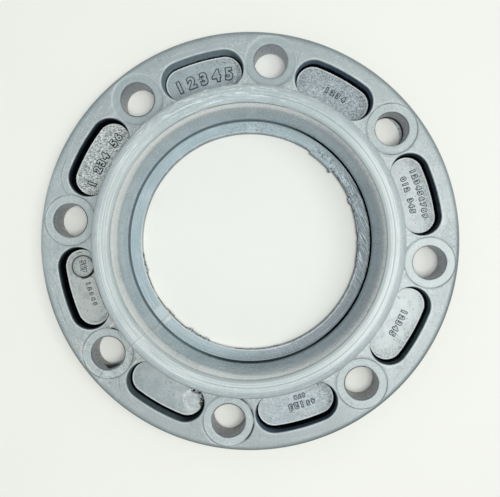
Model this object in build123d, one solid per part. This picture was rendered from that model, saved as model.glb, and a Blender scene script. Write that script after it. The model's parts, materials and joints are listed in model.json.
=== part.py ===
from build123d import *
import os
from math import cos, radians, sin, tan

# One injection-moulded PVC socket flange for 6 inch pipe, in millimetres.
# The origin is the centre of the sealing face, and +Z runs along the pipe towards the socket mouth.

# Flange disc
FLANGE_D = 279.4            # 11 inch outside diameter
FLANGE_T = 31.75            # 1 1/4 inch thick
BACK_RIM_EDGE = 1.5         # bevel of the rim on the hub side
FACE_RIM_EDGE = 0.8         # bevel of the rim on the sealing side

# Bolt holes, which straddle the X and Y axes
BOLT_COUNT = 8
BOLT_CIRCLE_D = 241.3       # 9 1/2 inch
BOLT_HOLE_D = 22.225        # 7/8 inch
SEAT_D = 34.0               # flat washer seat round each hole
SEAT_DEPTH = 0.4

# Hub that carries the socket
HEIGHT = 85.0               # sealing face to hub end
HUB_END_D = 192.6           # outside of the hub, projected to its end
HUB_DRAFT = 1.0             # degrees, so that the hub leaves its mould
HUB_ROOT_EDGE = 1.2
HUB_SHOULDER_R = 4.5
SHOULDER_FLATS = 3          # flats that stand for the round of the shoulder

# Tapered socket, with a parallel land where the pipe bottoms on its stop
SOCKET_MOUTH_D = 168.84     # 6.647 inch
SOCKET_LAND_D = 168.0       # 6.614 inch
SOCKET_LAND_L = 26.0
LEAD_IN = 1.9               # 45 degree chamfer at the mouth
STOP_Z = 7.2                # top of the pipe stop above the sealing face
STOP_BORE_D = 150.0         # water way through the stop
BORE_EDGE = 0.5

# Kidney-shaped cored pockets, one between each two bolt holes
POCKET_LINE_D = 232.2       # circle that the middle line of a pocket follows
POCKET_W = 25.4
POCKET_HALF_ANGLE = 7.52    # degrees from the middle of a pocket to the centre of its round end
POCKET_DEPTH = FLANGE_T / 2
POCKET_DRAFT = 3.5
POCKET_FLOOR_EDGE = 1.2

# Torn gate on the edge of the water way: start and end in degrees, how far it stands in, how thick it is
GATE_STUBS = ((25.2, 40.2, 1.3, 3.0), (-25.8, 17.2, 0.6, 1.0))
GATE_ROOT = 1.0             # how far a stub reaches back into the stop

STEP = 360 / BOLT_COUNT
STOP_BORE_R = STOP_BORE_D / 2
LAND_R, MOUTH_R, HUB_END_R = SOCKET_LAND_D / 2, SOCKET_MOUTH_D / 2, HUB_END_D / 2
HUB_ROOT_X = HUB_END_R + (HEIGHT - FLANGE_T) * tan(radians(HUB_DRAFT))


def turned_body():
    """Disc, hub, tapered socket and pipe stop, turned from their half section."""
    way_face, way_stop = (STOP_BORE_R, 0, 0), (STOP_BORE_R, 0, STOP_Z)
    rim_face, rim_back = (FLANGE_D / 2, 0, 0), (FLANGE_D / 2, 0, FLANGE_T)
    hub_root, mouth = (HUB_ROOT_X, 0, FLANGE_T), (MOUTH_R, 0, HEIGHT)
    land, socket_corner = (LAND_R, 0, STOP_Z + SOCKET_LAND_L), (LAND_R, 0, STOP_Z)
    shoulder_x, shoulder_z = HUB_END_R - HUB_SHOULDER_R, HEIGHT - HUB_SHOULDER_R
    turns = [radians(90 * i / SHOULDER_FLATS) for i in range(SHOULDER_FLATS + 1)]
    shoulder = [(shoulder_x + HUB_SHOULDER_R * cos(t), 0, shoulder_z + HUB_SHOULDER_R * sin(t)) for t in turns]
    section = make_face(Polyline(
        way_face, rim_face, rim_back, hub_root, *shoulder, mouth, land, socket_corner, way_stop, close=True
    ))
    bevels = (
        (mouth, LEAD_IN), (rim_back, BACK_RIM_EDGE), (rim_face, FACE_RIM_EDGE),
        (hub_root, HUB_ROOT_EDGE), (way_face, BORE_EDGE), (way_stop, BORE_EDGE),
    )
    for corner, size in bevels:
        section = chamfer(section.vertices().sort_by_distance(corner)[0], size)
    return revolve(section, Axis.Z)


def pocket_core():
    """Core of the pocket on the +X side: a drafted kidney with a bevelled floor."""
    middle_line = CenterArc((0, 0), POCKET_LINE_D / 2, -POCKET_HALF_ANGLE, 2 * POCKET_HALF_ANGLE)
    mouth = Pos(0, 0, FLANGE_T) * SlotArc(middle_line, POCKET_W)
    core = extrude(mouth, amount=-POCKET_DEPTH, taper=POCKET_DRAFT)
    return chamfer(core.edges().group_by(Axis.Z)[0], POCKET_FLOOR_EDGE)


def bolt_hole_core():
    """Core of the first bolt hole, with its washer seat."""
    hole = Pos(0, 0, FLANGE_T / 2) * Cylinder(BOLT_HOLE_D / 2, FLANGE_T)
    seat = Pos(0, 0, FLANGE_T - SEAT_DEPTH / 2) * Cylinder(SEAT_D / 2, SEAT_DEPTH)
    return Rot(0, 0, STEP / 2) * Pos(BOLT_CIRCLE_D / 2, 0, 0) * (hole + seat)


def around(core):
    """The core repeated once for each bolt."""
    return [Rot(0, 0, i * STEP) * core for i in range(BOLT_COUNT)]


def gate_stub(start, end, stands_in, thickness):
    """A stretch of the torn diaphragm gate, level with the top of the pipe stop."""
    line = CenterArc((0, 0), STOP_BORE_R + (GATE_ROOT - stands_in) / 2, start, end - start)
    outline = Pos(0, 0, STOP_Z) * SlotArc(line, stands_in + GATE_ROOT)
    return extrude(outline, amount=-thickness)


flange = turned_body()
flange -= around(pocket_core())
flange -= around(bolt_hole_core())
flange += [gate_stub(*stub) for stub in GATE_STUBS]

os.makedirs("parts", exist_ok=True)
export_step(flange, "parts/flange.step")
print("flange", len(flange.solids()), "solid, volume", round(flange.volume), "mm3, faces", len(flange.faces()))
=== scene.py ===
# %% [markdown]
# # A moulded PVC socket flange
# The object is one injection moulding: a bolting disc with eight holes and eight cored pockets, and a hub
# with the socket that a pipe is cemented into. The imported solid has the right sizes but plain, sharp surfaces,
# so this notebook models the moulding once more as a fine mesh on the same sizes, and gives every surface its
# finish, with painted light and shade in the colours of many of them.

# %% Load the frame
import json
import math
import random

import bpy
import numpy as np
from mathutils import Matrix, Vector, geometry, noise

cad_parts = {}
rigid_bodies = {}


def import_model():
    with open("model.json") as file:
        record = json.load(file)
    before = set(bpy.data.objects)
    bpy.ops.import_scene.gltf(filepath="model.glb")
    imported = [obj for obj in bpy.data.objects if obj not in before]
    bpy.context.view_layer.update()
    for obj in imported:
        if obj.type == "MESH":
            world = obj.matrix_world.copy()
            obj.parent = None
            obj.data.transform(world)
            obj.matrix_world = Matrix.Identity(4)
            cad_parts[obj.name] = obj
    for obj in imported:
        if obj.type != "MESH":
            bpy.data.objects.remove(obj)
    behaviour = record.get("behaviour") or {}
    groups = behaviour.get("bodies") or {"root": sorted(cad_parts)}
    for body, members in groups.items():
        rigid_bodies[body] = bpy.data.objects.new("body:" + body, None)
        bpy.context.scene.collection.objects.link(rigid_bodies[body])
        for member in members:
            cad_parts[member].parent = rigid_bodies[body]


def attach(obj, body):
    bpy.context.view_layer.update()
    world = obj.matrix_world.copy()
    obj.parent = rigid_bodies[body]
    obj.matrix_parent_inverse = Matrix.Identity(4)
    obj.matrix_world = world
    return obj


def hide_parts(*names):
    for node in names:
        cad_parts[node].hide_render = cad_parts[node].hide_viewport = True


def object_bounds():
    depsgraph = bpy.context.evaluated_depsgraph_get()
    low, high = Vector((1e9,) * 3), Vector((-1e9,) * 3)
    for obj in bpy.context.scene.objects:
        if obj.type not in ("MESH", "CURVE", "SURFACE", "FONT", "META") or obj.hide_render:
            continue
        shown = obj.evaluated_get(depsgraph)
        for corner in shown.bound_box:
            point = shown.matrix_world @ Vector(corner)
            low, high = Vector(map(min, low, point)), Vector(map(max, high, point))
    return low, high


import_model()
cad_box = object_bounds()
MM = 0.001
print("packed solid, mm:", [round(c / MM, 1) for c in (*cad_box[0], *cad_box[1])])

# %% [markdown]
# ## Sizes
# A standard flange is described by a handful of sizes. The outer ones are read from the frame, so the mesh can't
# drift away from the solid. The rest repeat the drawing of the part. Everything is in millimetres until the
# very last step, because that is how a moulder thinks about a part like this.

# %% Sizes of the moulding
RIM_R = cad_box[1].x / MM
HEIGHT = cad_box[1].z / MM
DISC_T = 31.75
BOLTS = 8
STEP = math.tau / BOLTS
BOLT_CIRCLE_R, HOLE_R, SEAT_R, SEAT_DEPTH = 120.65, 11.1125, 16.9, 0.4
HUB_END_R, HUB_ROOT_X = 96.3, 97.23
MOUTH_R, LAND_R, LAND_TOP, LEAD_IN = 84.42, 84.0, 33.2, 1.9
STOP_Z, WAY_R = 7.2, 75.0
POCKET_LINE_R, POCKET_HALF_W, POCKET_HALF_ANGLE = 116.1, 12.7, math.radians(7.52)
POCKET_DEPTH, POCKET_SLOPE, FLOOR_ROUND = DISC_T / 2, math.tan(math.radians(3.5)), 0.7
print("rim radius", round(RIM_R, 2), "height", round(HEIGHT, 2), "one pocket every", math.degrees(STEP), "degrees")

# %% [markdown]
# ## The camera
# The picture looks straight down the pipe axis from about 60 cm. A lens can be worked out from two circles that
# are the same size at two heights: here the two ends of a bolt hole gave the distance, and the rim gave the
# focal length. The flange lies a little turned on the table, and it's the camera that is turned to match,
# because the part keeps its own axes.

# %% Place the camera
PHOTO_W, PHOTO_H = 500, 497
FOCAL_PX = 892.0
PHOTO_TURN = math.radians(-15.8)
photo_right = Vector((math.cos(PHOTO_TURN), math.sin(PHOTO_TURN), 0))
photo_up = Vector((-math.sin(PHOTO_TURN), math.cos(PHOTO_TURN), 0))


def seen_at(right, up, z):
    """A point given along the photograph's own right and up, in millimetres from the pipe axis."""
    return (photo_right * right + photo_up * up + Vector((0, 0, z))) * MM


eye, aim = seen_at(8.8, 0.7, 625.8), seen_at(0.3, -4.7, DISC_T)
back = (eye - aim).normalized()
across = photo_up.cross(back).normalized()
camera = bpy.data.objects.new("camera", bpy.data.cameras.new("camera"))
camera.matrix_world = Matrix((across, back.cross(across), back)).transposed().to_4x4()
camera.location = eye
camera.data.sensor_width = 36.0
camera.data.lens = FOCAL_PX / PHOTO_W * camera.data.sensor_width
camera.data.clip_start, camera.data.clip_end = 0.01, 50.0
bpy.context.scene.collection.objects.link(camera)
bpy.context.scene.camera = camera
print("lens, mm:", round(camera.data.lens, 1), "eye height, mm:", round(eye.z / MM, 1))

# %% [markdown]
# ## Shader arithmetic
# A finish is mostly arithmetic on a few noise textures, which is tedious to wire by hand. The small class below
# wraps one output of a node, so that plain Python expressions such as `1 - mask` add the nodes for it. Values go
# through Math nodes and vectors through Vector Math. Colours are only ever mixed, because a Math node would turn
# them grey. Every other node comes from one method, which sets the node's settings before its sockets.

# %% A material made of expressions
class Wire:
    """One output of a shader node, for use in arithmetic."""

    def __init__(self, finish, socket):
        self.finish, self.socket = finish, socket

    def combine(self, operation, first, second):
        parts = (first, second)
        plain = all(not isinstance(p, Wire) or p.socket.type == "VALUE" for p in parts)
        if not plain:
            parts = [(p, p, p) if isinstance(p, (int, float)) else p for p in parts]
        kind = "ShaderNodeMath" if plain else "ShaderNodeVectorMath"
        return self.finish.node(kind, {"operation": operation}, dict(enumerate(parts)))

    def __add__(self, other):
        return self.combine("ADD", self, other)

    def __sub__(self, other):
        return self.combine("SUBTRACT", self, other)

    def __rsub__(self, other):
        return self.combine("SUBTRACT", other, self)

    def __mul__(self, other):
        return self.combine("MULTIPLY", self, other)

    def __truediv__(self, other):
        return self.combine("DIVIDE", self, other)

    def __rtruediv__(self, other):
        return self.combine("DIVIDE", other, self)

    __radd__, __rmul__ = __add__, __mul__


class Finish:
    """A material that is being made."""

    def __init__(self, name):
        self.material = bpy.data.materials.new(name)
        self.material.use_nodes = True
        self.tree = self.material.node_tree
        self.tree.nodes.clear()
        self.place = self.node("ShaderNodeTexCoord", {}, {}, "Object")

    def node(self, kind, settings, sockets, output=0):
        made = self.tree.nodes.new(kind)
        for key, value in settings.items():
            if key == "stops":
                ramp = made.color_ramp.elements
                while len(ramp) < len(value):
                    ramp.new(0.5)
                for element, (position, colour) in zip(ramp, value):
                    element.position, element.color = position, (*colour, 1)
            else:
                setattr(made, key, value)
        for key, value in sockets.items():
            if isinstance(value, Wire):
                self.tree.links.new(value.socket, made.inputs[key])
            else:
                made.inputs[key].default_value = value
        return Wire(self, made.outputs[output]) if len(made.outputs) else made

    def mix(self, factor, low, high):
        """Between two colours."""
        low, high = [c if isinstance(c, Wire) else (*c, 1) for c in (low, high)]
        return self.node("ShaderNodeMix", {"data_type": "RGBA"}, {0: factor, 6: low, 7: high}, 2)

    def math(self, operation, *values):
        return self.node("ShaderNodeMath", {"operation": operation}, dict(enumerate(values)))

    def step(self, value, low, high):
        """0 below low, 1 above high and smooth between them."""
        settings = {"interpolation_type": "SMOOTHSTEP"}
        return self.node("ShaderNodeMapRange", settings, {0: value, 1: low, 2: high, 3: 0.0, 4: 1.0})

    def noise(self, size_mm, detail=3.0, place=None, roughness=0.5, distortion=0.0):
        """Cloudy noise with features of about this size, from 0 to 1."""
        sockets = {
            "Vector": place or self.place,
            "Scale": 1 / (size_mm * MM),
            "Detail": detail,
            "Roughness": roughness,
            "Distortion": distortion,
        }
        return self.node("ShaderNodeTexNoise", {}, sockets, 0)

    def output(self, shader):
        self.node("ShaderNodeOutputMaterial", {}, {0: shader})
        return self.material


print("shader arithmetic is ready")

# %% [markdown]
# ## Table and light
# The flange lies on a white table under broad, even light that is a little stronger from the right. A large lamp
# above gives the soft shine on every level surface, a weaker one on the right rounds the hub, and an even sky
# fills the walls. The lamps are set so that a level surface renders at about its own colour. The sky shows white
# to the camera and to rays through transparent surfaces, as in a white studio.

# %% Light the scene
SKY_COLOUR, SKY_SEEN = (0.96, 0.98, 1.0), 0.95


def white_world(fill, seen):
    """A sky that lights with one strength and is seen with another."""
    world = bpy.data.worlds.new("studio")
    world.use_nodes = True
    nodes, links = world.node_tree.nodes, world.node_tree.links
    nodes.clear()
    path = nodes.new("ShaderNodeLightPath")
    either = nodes.new("ShaderNodeMath")
    either.operation = "MAXIMUM"
    links.new(path.outputs["Is Camera Ray"], either.inputs[0])
    links.new(path.outputs["Is Transmission Ray"], either.inputs[1])
    strength = nodes.new("ShaderNodeMapRange")
    strength.inputs["To Min"].default_value, strength.inputs["To Max"].default_value = fill, seen
    links.new(either.outputs[0], strength.inputs["Value"])
    sky = nodes.new("ShaderNodeBackground")
    sky.inputs["Color"].default_value = (*SKY_COLOUR, 1)
    links.new(strength.outputs[0], sky.inputs["Strength"])
    links.new(sky.outputs[0], nodes.new("ShaderNodeOutputWorld").inputs[0])
    bpy.context.scene.world = world


def soft_lamp(name, right, up, z, size, level, colour):
    """A round lamp that adds this much brightness to a level white surface."""
    lamp = bpy.data.objects.new(name, bpy.data.lights.new(name, "AREA"))
    lamp.location = seen_at(right, up, z)
    lamp.rotation_euler = lamp.location.to_track_quat("Z", "Y").to_euler()
    distance = lamp.location.length
    lamp.data.shape, lamp.data.size, lamp.data.color = "DISK", size, colour
    lamp.data.energy = level * (math.pi * distance) ** 2 * distance / lamp.location.z
    bpy.context.scene.collection.objects.link(lamp)
    return lamp


white_world(fill=0.31, seen=SKY_SEEN)
soft_lamp("overhead lamp", 110, -80, 1600, 0.45, 0.54, (1.0, 0.995, 0.98))
soft_lamp("right hand lamp", 470, 70, 1560, 0.5, 0.15, (1.0, 1.0, 0.98))
bpy.context.scene.view_settings.view_transform = "Standard"

# %% Lay the table
table = bpy.data.objects.new("table", bpy.data.meshes.new("table"))
half, top = 3.0, 0.02 * MM
table.data.from_pydata([(-half, -half, top), (half, -half, top), (half, half, top), (-half, half, top)], [],
                       [(0, 1, 2, 3)])
bpy.context.scene.collection.objects.link(table)
paper = Finish("white table")
tint = paper.mix(paper.noise(60, 2), (0.91, 0.92, 0.868), (0.93, 0.94, 0.893))
paper_shader = paper.node("ShaderNodeBsdfPrincipled", {}, {"Base Color": tint, "Roughness": 0.6})
white = paper.node("ShaderNodeEmission", {}, {"Color": (*SKY_COLOUR, 1), "Strength": SKY_SEEN})
far = paper.step(paper.node("ShaderNodeVectorMath", {"operation": "LENGTH"}, {0: paper.place}, "Value"), 0.32, 1.3)
seen = paper.node("ShaderNodeLightPath", {}, {}, "Is Camera Ray")
paper_shader = paper.node("ShaderNodeMixShader", {}, {0: far * seen, 1: paper_shader, 2: white})
table.data.materials.append(paper.output(paper_shader))
print("table", half * 2, "m wide")

# %% [markdown]
# ## A mesh that closes by itself
# The moulding is one closed skin. The parts of it that go round the pipe axis could be turned with a Screw
# modifier, and the pockets could be cut with Booleans, but Booleans leave long thin triangles that shade badly
# and hard edges that no real moulding has. Here each opening is a loop of points, neighbouring loops are skinned
# with quads, and the flat areas between the loops are filled by a Delaunay triangulation that uses those same
# points. So all edges are shared, every edge can be rounded, and the triangles can be small just where detail is.

# %% Collect points and faces
class Skin:
    """Points and faces of one closed surface, in millimetres."""

    def __init__(self):
        self.points, self.faces, self.finishes = [], [], []

    def add(self, points):
        """Adds points and returns their numbers."""
        first = len(self.points)
        self.points.extend(tuple(p) for p in points)
        return list(range(first, len(self.points)))

    def join(self, low, high, finish, turned=False):
        """Quads between two closed loops with as many points."""
        n = len(low)
        for i in range(n):
            j = (i + 1) % n
            face = (low[i], low[j], high[j], high[i])
            self.faces.append(face[::-1] if turned else face)
            self.finishes.append(finish)

    def fill(self, loops, inner, inside, finish, height, up=True):
        """Triangles between loops that lie level, with extra points. inside tells which part is to be filled."""
        known = [i for loop in loops for i in loop]
        flat = [Vector(self.points[i][:2]) for i in known] + [Vector(p) for p in inner]
        edges, first = [], 0
        for loop in loops:
            edges += [(first + k, first + (k + 1) % len(loop)) for k in range(len(loop))]
            first += len(loop)
        known += self.add((x, y, height(x, y)) for x, y in inner)
        corners, _, triangles, sources, _, _ = geometry.delaunay_2d_cdt(flat, edges, [], 0, 1e-6)
        centres = np.array([[sum(corners[k][a] for k in t) / 3 for a in (0, 1)] for t in triangles])
        kept = inside(centres[:, 0], centres[:, 1])
        for triangle, keep in zip(triangles, kept):
            if keep:
                face = tuple(known[sources[k][0]] for k in triangle)
                self.faces.append(face if up else face[::-1])
                self.finishes.append(finish)

    def make(self, name, materials):
        """The mesh object, in metres."""
        mesh = bpy.data.meshes.new(name)
        mesh.from_pydata([[c * MM for c in p] for p in self.points], [], self.faces)
        mesh.polygons.foreach_set("material_index", self.finishes)
        mesh.polygons.foreach_set("use_smooth", [True] * len(self.faces))
        for material in materials:
            mesh.materials.append(material)
        mesh.validate()
        made = bpy.data.objects.new(name, mesh)
        bpy.context.scene.collection.objects.link(made)
        return made


def arc(x, z, radius, start, end, count):
    """Points of an arc in the half section, from start to end in degrees."""
    turns = [math.radians(start + (end - start) * i / (count - 1)) for i in range(count)]
    return [(x + radius * math.cos(t), z + radius * math.sin(t)) for t in turns]


def ring(radius, z, count, centre=(0.0, 0.0)):
    """Points of a level circle."""
    return [
        (centre[0] + radius * math.cos(math.tau * i / count), centre[1] + radius * math.sin(math.tau * i / count), z)
        for i in range(count)
    ]


def honeycomb(x0, y0, x1, y1, pitch):
    """Evenly spread points over a rectangle."""
    rows = int((y1 - y0) / (pitch * 0.866)) + 1
    grid = [
        (x0 + (i + 0.5 * (j % 2)) * pitch, y0 + j * pitch * 0.866)
        for j in range(rows) for i in range(int((x1 - x0) / pitch) + 1)
    ]
    return np.array(grid)


print("skin tools are ready")

# %% [markdown]
# ## The half section
# A turned part is best read from its half section. Going round it once: the rim, then up the hub, over its end,
# down the tapered socket, across the pipe stop, through the water way and out along the sealing face, which
# carries the shallow rings that bite into a gasket. Each corner of a moulding is a small round, and the
# points on those rounds are what catches the light.

# %% Draw the half section
def rim_section():
    """From the sealing face round the rim to the back face."""
    wall = [(RIM_R, z) for z in (1.4, 8.0, 16.0, 24.0, DISC_T - 2.6)]
    return [*arc(RIM_R - 0.9, 0.9, 0.9, -90, 0, 5), *wall, *arc(RIM_R - 2.0, DISC_T - 2.0, 2.0, 0, 90, 7)]


def hub_section():
    """From the back face up the outside of the hub to its level end."""
    root = arc(HUB_ROOT_X + 2.0, DISC_T + 2.0, 2.0, 270, 180, 6)
    heights = (DISC_T + 3, 42, 52, 62, 72, HEIGHT - 5.2)
    wall = [(HUB_ROOT_X - (z - DISC_T) * (HUB_ROOT_X - HUB_END_R) / (HEIGHT - DISC_T), z) for z in heights]
    return root, wall, arc(HUB_END_R - 4.45, HEIGHT - 4.5, 4.5, 0, 90, 9)


def end_section():
    """The level end with the fine step that the mould core leaves, and the lead-in."""
    step_r, step_z = 89.0, HEIGHT - 0.14
    level = [(91.2, HEIGHT), (90.2, HEIGHT), (step_r + 0.25, HEIGHT), (step_r + 0.08, step_z), (step_r - 0.25, step_z)]
    edge = MOUTH_R + LEAD_IN
    level += [(88.0, step_z), (87.0, step_z), (edge + 0.15, step_z), (edge - 0.1, step_z - 0.08)]
    return level + [(85.4, HEIGHT - 1.0), (MOUTH_R + 0.1, HEIGHT - LEAD_IN + 0.05), (MOUTH_R - 0.03, HEIGHT - 2.1)]


def socket_section():
    """The tapered wall, then the parallel land."""
    heights = (80, 72, 64, 56, 48, 40, LAND_TOP)
    slope = (MOUTH_R - LAND_R) / (HEIGHT - LEAD_IN - LAND_TOP)
    return [(LAND_R + (z - LAND_TOP) * slope, z) for z in heights] + [(LAND_R, 24.0), (LAND_R, 15.0), (LAND_R, 9.0)]


def stop_section():
    """The corner, the pipe stop and the wall of the water way."""
    corner = [*arc(LAND_R - 0.5, STOP_Z + 0.5, 0.5, 0, -90, 4), (82.9, STOP_Z)]
    ledge = [(r, STOP_Z) for r in (82.3, 81.0, 80.0, 78.5, 77.0, 75.9)]
    way = [*arc(WAY_R + 0.4, STOP_Z - 0.4, 0.4, 90, 180, 4), (WAY_R, 5.2), (WAY_R, 3.0), (WAY_R, 1.2)]
    return corner, ledge, way + arc(WAY_R + 0.4, 0.4, 0.4, 180, 270, 4)


def sealing_section():
    """Shallow V grooves in the sealing face."""
    grooves = [(r + dx, dz) for r in (80.5, 83.5, 86.5, 89.5, 92.5, 95.5) for dx, dz in ((-0.5, 0), (0, 0.45), (0.5, 0))]
    return [(77.0, 0), *grooves, (98.0, 0)]


print("points in the rim section:", len(rim_section()))

# %% [markdown]
# ## Skins that go round
# The finishes differ from surface to surface, so each stretch of the section gets its own material number. They
# are listed once, by the names that a moulder would use for the surfaces.

# %% Turn the section
SURFACES = ("back face", "washer seat", "pocket wall", "pocket floor", "hub side", "hub end", "socket wall",
            "stop corner", "pipe stop", "water way", "hole wall", "sealing face")
number = {name: i for i, name in enumerate(SURFACES)}
ROUND = 240
skin = Skin()


def turn(section, surface, start=None):
    """Loops for a stretch of the section, skinned on from the loop it starts at. Returns the first and last."""
    first, last = None, start
    for r, z in section:
        loop = skin.add(ring(r, z, ROUND))
        if last is not None:
            skin.join(last, loop, number[surface])
        first, last = first or loop, loop
    return first, last


face_outer, back_outer = turn(rim_section(), "back face")
root, wall, shoulder = hub_section()
back_inner, last = turn(root, "back face")
_, last = turn(wall + shoulder, "hub side", last)
_, last = turn(end_section(), "hub end", last)
_, last = turn(socket_section(), "socket wall", last)
corner, ledge, way = stop_section()
_, last = turn(corner, "stop corner", last)
_, last = turn(ledge, "pipe stop", last)
_, last = turn(way, "water way", last)
_, face_inner = turn(sealing_section(), "sealing face", last)
print("points on the turned skins:", len(skin.points))

# %% [markdown]
# ## Pockets
# The pockets are kidneys: a slot with round ends that is bent along the bolt circle. The distance of any point
# from such a slot has a simple formula, because a point beside the slot is measured from the nearest point of
# its middle line. The same formula later places the wear round the pockets in the materials. The wall leans by
# a few degrees, as it must to leave the mould, and it runs into the floor in a small round.

# %% Measure and draw a kidney
def kidney_gap(x, y, pocket):
    """How far points are outside a pocket's mouth, in millimetres. It's negative inside."""
    angle = (np.arctan2(y, x) - pocket * STEP + math.pi) % math.tau - math.pi
    beside = angle - np.clip(angle, -POCKET_HALF_ANGLE, POCKET_HALF_ANGLE)
    r = np.hypot(x, y)
    return np.hypot(r * np.cos(beside) - POCKET_LINE_R, r * np.sin(beside)) - POCKET_HALF_W


def kidney(inset, depth, pocket):
    """Points of a pocket's outline, moved inwards by inset and down by depth."""
    half, width, points = POCKET_HALF_ANGLE, POCKET_HALF_W - inset, []
    for r, start, end, count in ((POCKET_LINE_R + width, -half, half, 34), (POCKET_LINE_R - width, half, -half, 28)):
        points += [(r * math.cos(a), r * math.sin(a)) for a in np.linspace(start, end, count, endpoint=False)]
        for t in np.linspace(0, math.pi, 27, endpoint=False):
            turn_by = end + t + (0 if r > POCKET_LINE_R else math.pi)
            points.append((
                POCKET_LINE_R * math.cos(end) + width * math.cos(turn_by),
                POCKET_LINE_R * math.sin(end) + width * math.sin(turn_by),
            ))
    c, s = math.cos(pocket * STEP), math.sin(pocket * STEP)
    return [(x * c - y * s, x * s + y * c, DISC_T - depth) for x, y in points]


def pocket_section():
    """Inset and depth down the wall: the softened lip, the leaning wall and the round at the floor."""
    lip = [(-0.5 + 0.5 * math.sin(t), 0.5 - 0.5 * math.cos(t)) for t in np.linspace(0, math.pi / 2, 5)]
    wall = [(POCKET_SLOPE * d, d) for d in (1.2, 4.0, 7.5, 11.0, 14.2)]
    foot = POCKET_SLOPE * (POCKET_DEPTH - FLOOR_ROUND) + FLOOR_ROUND, POCKET_DEPTH - FLOOR_ROUND
    turns = np.linspace(0, math.pi / 2, 6)
    rounded = [(foot[0] - FLOOR_ROUND * math.cos(t), foot[1] + FLOOR_ROUND * math.sin(t)) for t in turns]
    return lip + wall + rounded


print("points round a kidney:", len(kidney(0, 0, 0)))

# %% [markdown]
# ## Pocket floors
# The floor of a cored pocket is the rough part of such a moulding: the mould was spark-eroded, so some floors are
# sandy, some look like coarse leather and a few are nearly smooth. Relief of a fraction of a millimetre is still
# a shape, so the floors get fine triangles and real height from noise. Only the grain below that is bump.

# %% Describe the floors
# For each pocket: the size of its grain in millimetres, how high it stands, how coarse it is in the middle and at
# its edge, and the way to its roughest part along the pocket and outwards, in millimetres.
FLOORS = (
    (1.1, 0.14, 0.12, 0.6, (0, 6)),
    (1.0, 0.22, 0.7, 0.95, (-20, 0)),
    (1.3, 0.26, 0.1, 1.0, (-24, -8)),
    (1.15, 0.30, 1.0, 1.0, (0, 0)),
    (2.5, 0.06, 0.15, 0.3, (0, 0)),
    (2.2, 0.06, 0.08, 0.2, (0, 0)),
    (1.2, 0.20, 0.2, 0.95, (20, -4)),
    (1.0, 0.16, 0.06, 0.75, (-6, 12)),
)
TORN_FLOOR, PLUG_X, PLUG_Y, PLUG_R = 5, -66.3, -93.5, 6.6
FLOOR_INSET = pocket_section()[-1][0]


def floor_place(x, y, pocket):
    """A point of a floor, along the pocket anticlockwise and outwards from its middle line."""
    angle = (math.atan2(y, x) - pocket * STEP + math.pi) % math.tau - math.pi
    return angle * POCKET_LINE_R, math.hypot(x, y) - POCKET_LINE_R


def coarseness(x, y, pocket):
    """How coarse the floor is at a point, from 0 to 1."""
    _, _, middle, edge, way = FLOORS[pocket]
    along, across = floor_place(x, y, pocket)
    reach = math.hypot(*way) or 1.0
    onwards = (along * way[0] + across * way[1]) / reach ** 2 if any(way) else 0.5
    near_wall = 1 - min(1.0, max(0.0, -kidney_gap(x, y, pocket) - FLOOR_INSET) / 5.0)
    blend = min(1.0, max(0.0, near_wall * 0.6 + onwards - 0.35 + 0.35 * noise.noise(Vector((x, y, 5.0)) / 5)))
    if pocket == TORN_FLOOR:
        away = math.hypot(x - PLUG_X, y - PLUG_Y) + 1.5 * noise.noise(Vector((x, y, 9.0)) / 2)
        right_side = min(1.0, max(0.0, ((x - PLUG_X) * 0.97 + (y - PLUG_Y) * 0.24) / 4))
        return max(middle + (edge - middle) * blend, right_side * max(0.0, 1 - abs(away - PLUG_R) / 2.2))
    return middle + (edge - middle) * blend


def floor_relief(x, y, pocket):
    """Height of the floor's relief at a point. It dies out towards the wall."""
    size, amount = FLOORS[pocket][:2]
    at = Vector((x, y, pocket * 40.0)) / size
    ridges = 1 - abs(noise.noise(at)) * 2.2
    grain = noise.noise(at * 2.3 + Vector((7, 3, 1)))
    edge = min(1.0, max(0.0, (-kidney_gap(x, y, pocket) - FLOOR_INSET) / 0.8))
    coarse = coarseness(x, y, pocket)
    torn = pocket == TORN_FLOOR and coarse > FLOORS[pocket][3]
    height = 0.55 * (coarse - 0.3) if torn else amount * coarse
    return height * (ridges - 0.6 + 0.5 * grain) * edge


print("deepest floor relief, mm:", max(floor[1] for floor in FLOORS))

# %% Sink the pockets
mouths, floor_points = [], []
FLOOR_PITCH = 0.52
for pocket in range(BOLTS):
    loops = [skin.add(kidney(inset, depth, pocket)) for inset, depth in pocket_section()]
    for low, high in zip(loops, loops[1:]):
        skin.join(low, high, number["pocket wall"])
    mouths.append(loops[0])
    c, s = math.cos(pocket * STEP), math.sin(pocket * STEP)
    grid = honeycomb(POCKET_LINE_R - 14, -30, POCKET_LINE_R + 14, 30, FLOOR_PITCH) @ np.array([[c, s], [-s, c]])
    grid = grid[kidney_gap(grid[:, 0], grid[:, 1], pocket) < -FLOOR_INSET - 0.45]
    floor_points.append((loops[-1][0], loops[-1][-1] + 1 + len(grid)))
    skin.fill(
        [loops[-1]], grid.tolist(),
        lambda x, y: kidney_gap(x, y, pocket) < -FLOOR_INSET + 0.02,
        number["pocket floor"],
        lambda x, y: DISC_T - POCKET_DEPTH + floor_relief(x, y, pocket),
    )
coarse_points = [
    (i, coarseness(*skin.points[i][:2], pocket)) for pocket, (start, end) in enumerate(floor_points)
    for i in range(start, end)
]
print("points with the pockets:", len(skin.points))

# %% [markdown]
# ## Bolt holes
# Each hole has a shallow round seat for a washer. Its edge is only four tenths of a millimetre high, but it draws
# the fine circle that shows so well from above, so it's modelled.

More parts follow.
